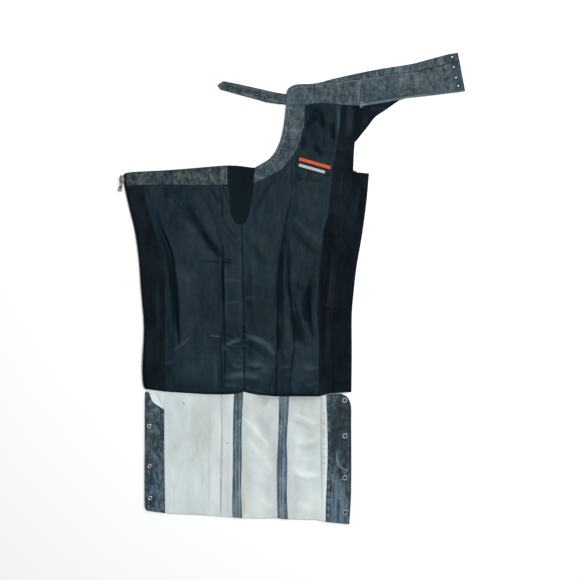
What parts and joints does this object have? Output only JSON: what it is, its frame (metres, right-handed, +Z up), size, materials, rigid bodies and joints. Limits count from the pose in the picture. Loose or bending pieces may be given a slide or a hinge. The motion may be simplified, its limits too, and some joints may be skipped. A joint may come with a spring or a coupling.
{
  "type": "leather riding chaps leg",
  "caption": "Right leg of lace-back leather riding chaps, unzipped and laid open flat with the lining up, with belt strap, stretch gusset, zip edges, storm flap and snap cuffs.",
  "frame": {"origin": "middle of the garment's box, on the surface that it lies on", "axes": "+Y up the leg towards the waistband, +X towards the outer front zip edge and the laced back of the yoke, +Z up from the surface, so the inside of the garment faces +Z"},
  "size_m": [0.868, 1.1796, 0.0114],
  "materials": {
    "grey_leather": "weathered semi-matt grain, suede flesh side",
    "blue_leather": "worn blue-grey grain",
    "lining": "slightly shiny plain-weave nylon",
    "black_cloth": "matt twill",
    "zip_tape": "matt woven tape",
    "stretch_knit": "matt ribbed knit",
    "label": "woven label with plain stripes",
    "steel": "nickel-plated, lightly worn",
    "black_metal": "blackened"
  },
  "bodies": {
    "leg": {"back_panel": "grey_leather", "belt_strap": "grey_leather", "crotch_facing": "grey_leather", "eyelet_blind_1": "black_metal", "eyelet_blind_2": "black_metal", "eyelet_blind_3": "black_metal", "eyelet_blind_4": "black_metal", "eyelet_open_1": "steel", "eyelet_open_2": "steel", "eyelet_open_3": "steel", "eyelet_open_4": "steel", "front_panel": "grey_leather", "hip_panel": "black_cloth", "inner_panel": "grey_leather", "label": "label", "lining_back": "lining", "lining_front": "lining", "lining_inner": "lining", "seam_tape_back": "blue_leather", "seam_tape_front": "blue_leather", "size_tab": "label", "snap_facing_left": "blue_leather", "snap_facing_right": "blue_leather", "snap_left_1": "steel", "snap_left_2": "steel", "snap_left_3": "steel", "snap_right_1": "steel", "snap_right_2": "steel", "snap_right_3": "steel", "snap_right_4": "steel", "storm_flap": "black_cloth", "stretch_gusset": "stretch_knit", "thigh_facing": "grey_leather", "waistband_facing": "grey_leather", "waistband_outer": "grey_leather", "yoke_facing": "grey_leather", "yoke_outer": "grey_leather", "yoke_turnover": "grey_leather", "zip_facing_left": "black_cloth", "zip_facing_right": "black_cloth", "zip_slider": "steel", "zip_tape_left": "zip_tape", "zip_tape_right": "zip_tape"},
    "pull": {"zip_pull": "steel"}
  },
  "joints": [
    {"name": "pull_hinge", "type": "hinge", "parent": "leg", "child": "pull", "pos_m": [-0.42431, 0.2662, 0.0055], "axis": [-0.9703, 0.2419, 0], "range_deg": [0, 170]}
  ]
}
